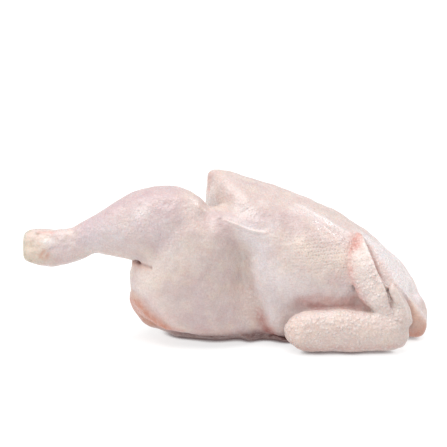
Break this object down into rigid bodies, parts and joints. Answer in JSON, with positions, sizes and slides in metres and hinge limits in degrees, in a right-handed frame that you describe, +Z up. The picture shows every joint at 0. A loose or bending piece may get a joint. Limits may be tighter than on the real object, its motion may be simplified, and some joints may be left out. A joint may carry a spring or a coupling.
{
  "type": "half chicken",
  "caption": "Raw left half of a plucked chicken, split along the keel and the backbone, lying on its back with the leg stretched out and the wing folded on itself.",
  "frame": {"origin": "middle of the bounding box's underside, on the surface that the bird rests on", "axes": "+X from the hock end to the neck end, +Y out of the cut face, +Z up"},
  "size_m": [0.3108, 0.0878, 0.123],
  "materials": {
    "raw_skin": "moist raw poultry skin, pale pink to cream, satin with small wet highlights"
  },
  "bodies": {
    "root": {"half_chicken": "raw_skin"}
  },
  "joints": []
}
